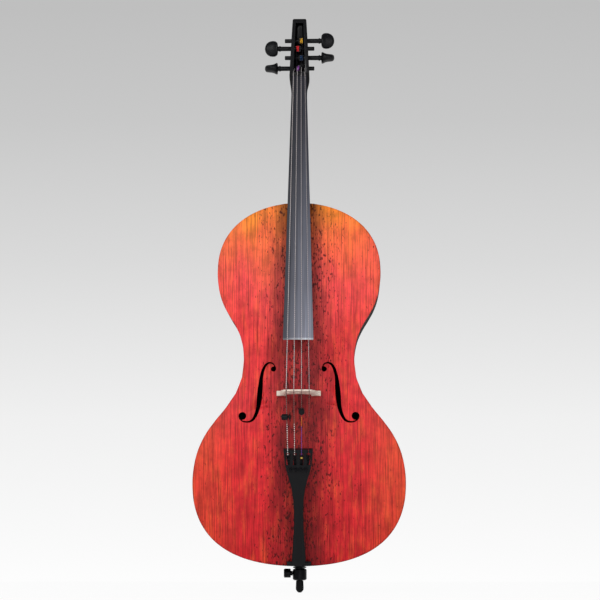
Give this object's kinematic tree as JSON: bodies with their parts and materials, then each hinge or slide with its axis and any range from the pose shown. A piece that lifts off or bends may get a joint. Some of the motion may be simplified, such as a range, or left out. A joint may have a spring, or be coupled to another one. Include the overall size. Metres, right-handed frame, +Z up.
{
  "type": "carbon fiber cello",
  "caption": "Full-size cornerless cello with a moulded carbon shell, red varnished top, friction pegs, built-in fine tuners and a sliding endpin.",
  "frame": {"origin": "centre of the flat foot of the endpin's rubber tip, on the endpin's axis, endpin pushed in", "axes": "+Z runs up the neck to the head, -Y is the side that the strings face, +X is to the right of someone looking at the strings"},
  "size_m": [0.441, 0.2573, 1.2136],
  "materials": {
    "gloss_carbon": "clear-coated carbon laminate",
    "red_varnish": "antiqued red-orange varnish look over the carbon plate",
    "satin_board": "satin black composite, worn lighter along the strings",
    "black_moulding": "satin moulded composite",
    "string_steel": "wound steel",
    "black_steel": "blackened steel",
    "brass": "plain brass",
    "rubber": "matt black rubber",
    "maple": "pale maple, scraped",
    "spruce": "bare spruce",
    "nylon_cord": "black nylon cord",
    "silk_c": "violet silk wrap",
    "silk_g": "red silk wrap",
    "silk_d": "gold silk wrap",
    "silk_a": "dark blue silk wrap"
  },
  "bodies": {
    "root": {"back_shell": "gloss_carbon", "top_plate": "red_varnish", "upper_block": "gloss_carbon", "lower_block": "gloss_carbon", "bass_bar": "gloss_carbon", "sound_post": "spruce", "neck": "gloss_carbon", "fingerboard": "satin_board", "nut": "satin_board", "bridge": "maple", "saddle": "satin_board", "tailpiece": "black_moulding", "tuner_pin": "black_steel", "tail_cord": "nylon_cord", "endpin_socket": "black_steel", "string_c": "string_steel", "string_g": "string_steel", "string_d": "string_steel", "string_a": "string_steel", "wolf_barrel_c": "black_moulding", "wolf_barrel_d": "black_moulding"},
    "peg_c": {"peg_c": "satin_board", "winding_c": "silk_c"},
    "peg_g": {"peg_g": "satin_board", "winding_g": "silk_g"},
    "peg_d": {"peg_d": "satin_board", "winding_d": "silk_d"},
    "peg_a": {"peg_a": "satin_board", "winding_a": "silk_a"},
    "tuner_screw_c": {"tuner_screw_c": "black_steel"},
    "tuner_lever_c": {"tuner_lever_c": "black_steel", "ball_end_c": "brass"},
    "tuner_screw_g": {"tuner_screw_g": "black_steel"},
    "tuner_lever_g": {"tuner_lever_g": "black_steel", "ball_end_g": "brass"},
    "tuner_screw_d": {"tuner_screw_d": "black_steel"},
    "tuner_lever_d": {"tuner_lever_d": "black_steel", "ball_end_d": "brass"},
    "tuner_screw_a": {"tuner_screw_a": "black_steel"},
    "tuner_lever_a": {"tuner_lever_a": "black_steel", "ball_end_a": "brass"},
    "endpin": {"endpin_rod": "gloss_carbon", "endpin_tip": "rubber"},
    "thumb_screw": {"thumb_screw": "black_steel"},
    "wolf_screw_c": {"wolf_screw_c": "black_moulding"},
    "wolf_screw_d": {"wolf_screw_d": "black_moulding"}
  },
  "joints": [
    {"name": "peg_turn_c", "type": "hinge", "parent": "root", "child": "peg_c", "pos_m": [0, -0.01, 1.1075], "axis": [1, 0, 0], "continuous": true},
    {"name": "peg_turn_g", "type": "hinge", "parent": "root", "child": "peg_g", "pos_m": [0, -0.01, 1.1506], "axis": [1, 0, 0], "continuous": true},
    {"name": "peg_turn_d", "type": "hinge", "parent": "root", "child": "peg_d", "pos_m": [0, -0.01, 1.1674], "axis": [1, 0, 0], "continuous": true},
    {"name": "peg_turn_a", "type": "hinge", "parent": "root", "child": "peg_a", "pos_m": [0, -0.01, 1.1305], "axis": [1, 0, 0], "continuous": true},
    {"name": "tuner_turn_c", "type": "hinge", "parent": "root", "child": "tuner_screw_c", "pos_m": [-0.0162, -0.12953, 0.24894], "axis": [0, 0.964, 0.2659], "range_deg": [0, 1260]},
    {"name": "lever_tilt_c", "type": "hinge", "parent": "root", "child": "tuner_lever_c", "pos_m": [-0.021, -0.12468, 0.27725], "axis": [1, 0, 0], "range_deg": [0, 6]},
    {"name": "tuner_turn_g", "type": "hinge", "parent": "root", "child": "tuner_screw_g", "pos_m": [-0.0054, -0.12953, 0.24894], "axis": [0, 0.964, 0.2659], "range_deg": [0, 1260]},
    {"name": "lever_tilt_g", "type": "hinge", "parent": "root", "child": "tuner_lever_g", "pos_m": [-0.007, -0.12468, 0.27725], "axis": [1, 0, 0], "range_deg": [0, 6]},
    {"name": "tuner_turn_d", "type": "hinge", "parent": "root", "child": "tuner_screw_d", "pos_m": [0.0054, -0.12953, 0.24894], "axis": [0, 0.964, 0.2659], "range_deg": [0, 1260]},
    {"name": "lever_tilt_d", "type": "hinge", "parent": "root", "child": "tuner_lever_d", "pos_m": [0.007, -0.12468, 0.27725], "axis": [1, 0, 0], "range_deg": [0, 6]},
    {"name": "tuner_turn_a", "type": "hinge", "parent": "root", "child": "tuner_screw_a", "pos_m": [0.0162, -0.12953, 0.24894], "axis": [0, 0.964, 0.2659], "range_deg": [0, 1260]},
    {"name": "lever_tilt_a", "type": "hinge", "parent": "root", "child": "tuner_lever_a", "pos_m": [0.021, -0.12468, 0.27725], "axis": [1, 0, 0], "range_deg": [0, 6]},
    {"name": "endpin_slide", "type": "slide", "parent": "root", "child": "endpin", "axis": [0, 0, -1], "range_m": [0, 0.38]},
    {"name": "thumb_turn", "type": "hinge", "parent": "root", "child": "thumb_screw", "pos_m": [0, 0, 0.04], "axis": [-1, 0, 0], "range_deg": [0, 720]},
    {"name": "wolf_turn_c", "type": "hinge", "parent": "root", "child": "wolf_screw_c", "pos_m": [-0.01743, -0.15513, 0.3556], "axis": [0.9978, -0.067, 0], "range_deg": [0, 720]},
    {"name": "wolf_turn_d", "type": "hinge", "parent": "root", "child": "wolf_screw_d", "pos_m": [0.00764, -0.16538, 0.36513], "axis": [0.0192, -0.9557, -0.2938], "range_deg": [0, 720]}
  ],
  "couplings": [
    {"joint": "lever_tilt_c", "follows": "tuner_turn_c", "ratio": 0.00428},
    {"joint": "lever_tilt_g", "follows": "tuner_turn_g", "ratio": 0.00428},
    {"joint": "lever_tilt_d", "follows": "tuner_turn_d", "ratio": 0.00428},
    {"joint": "lever_tilt_a", "follows": "tuner_turn_a", "ratio": 0.00428}
  ]
}
